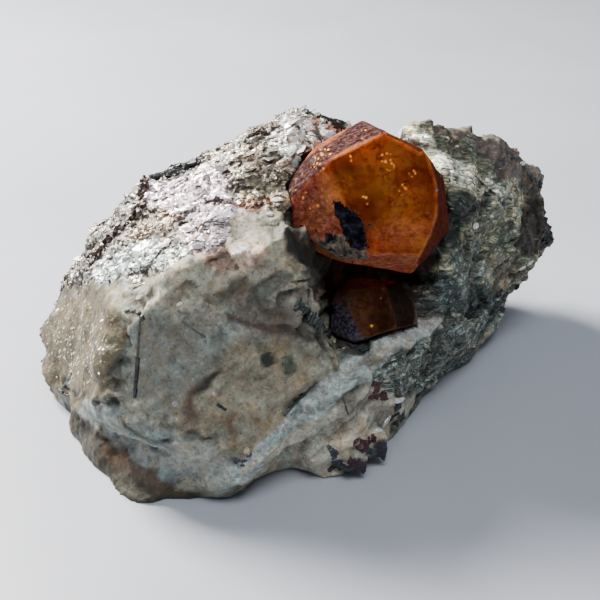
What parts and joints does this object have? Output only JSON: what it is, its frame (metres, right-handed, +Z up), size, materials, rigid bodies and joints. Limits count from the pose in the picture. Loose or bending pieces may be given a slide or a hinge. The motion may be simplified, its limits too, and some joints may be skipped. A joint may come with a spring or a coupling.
{
  "type": "spessartine garnet specimen",
  "caption": "Broken piece of grey-green mica schist with an orange garnet crystal set between its humps and a darker one in the hollow below, resting on a flat underside.",
  "frame": {"origin": "on the surface the specimen rests on, under the middle of its bounding box", "axes": "+X along the specimen's length, towards the end with the lower tip; +Y away from the face with the garnets; +Z up"},
  "size_m": [0.0516, 0.0374, 0.0286],
  "materials": {
    "schist": "broken, dull to silky",
    "spessartine": "vitreous, slightly frosted",
    "dark_garnet": "vitreous, dark"
  },
  "bodies": {
    "root": {"matrix": "schist", "garnet_main": "spessartine", "garnet_lower": "dark_garnet"}
  },
  "joints": []
}
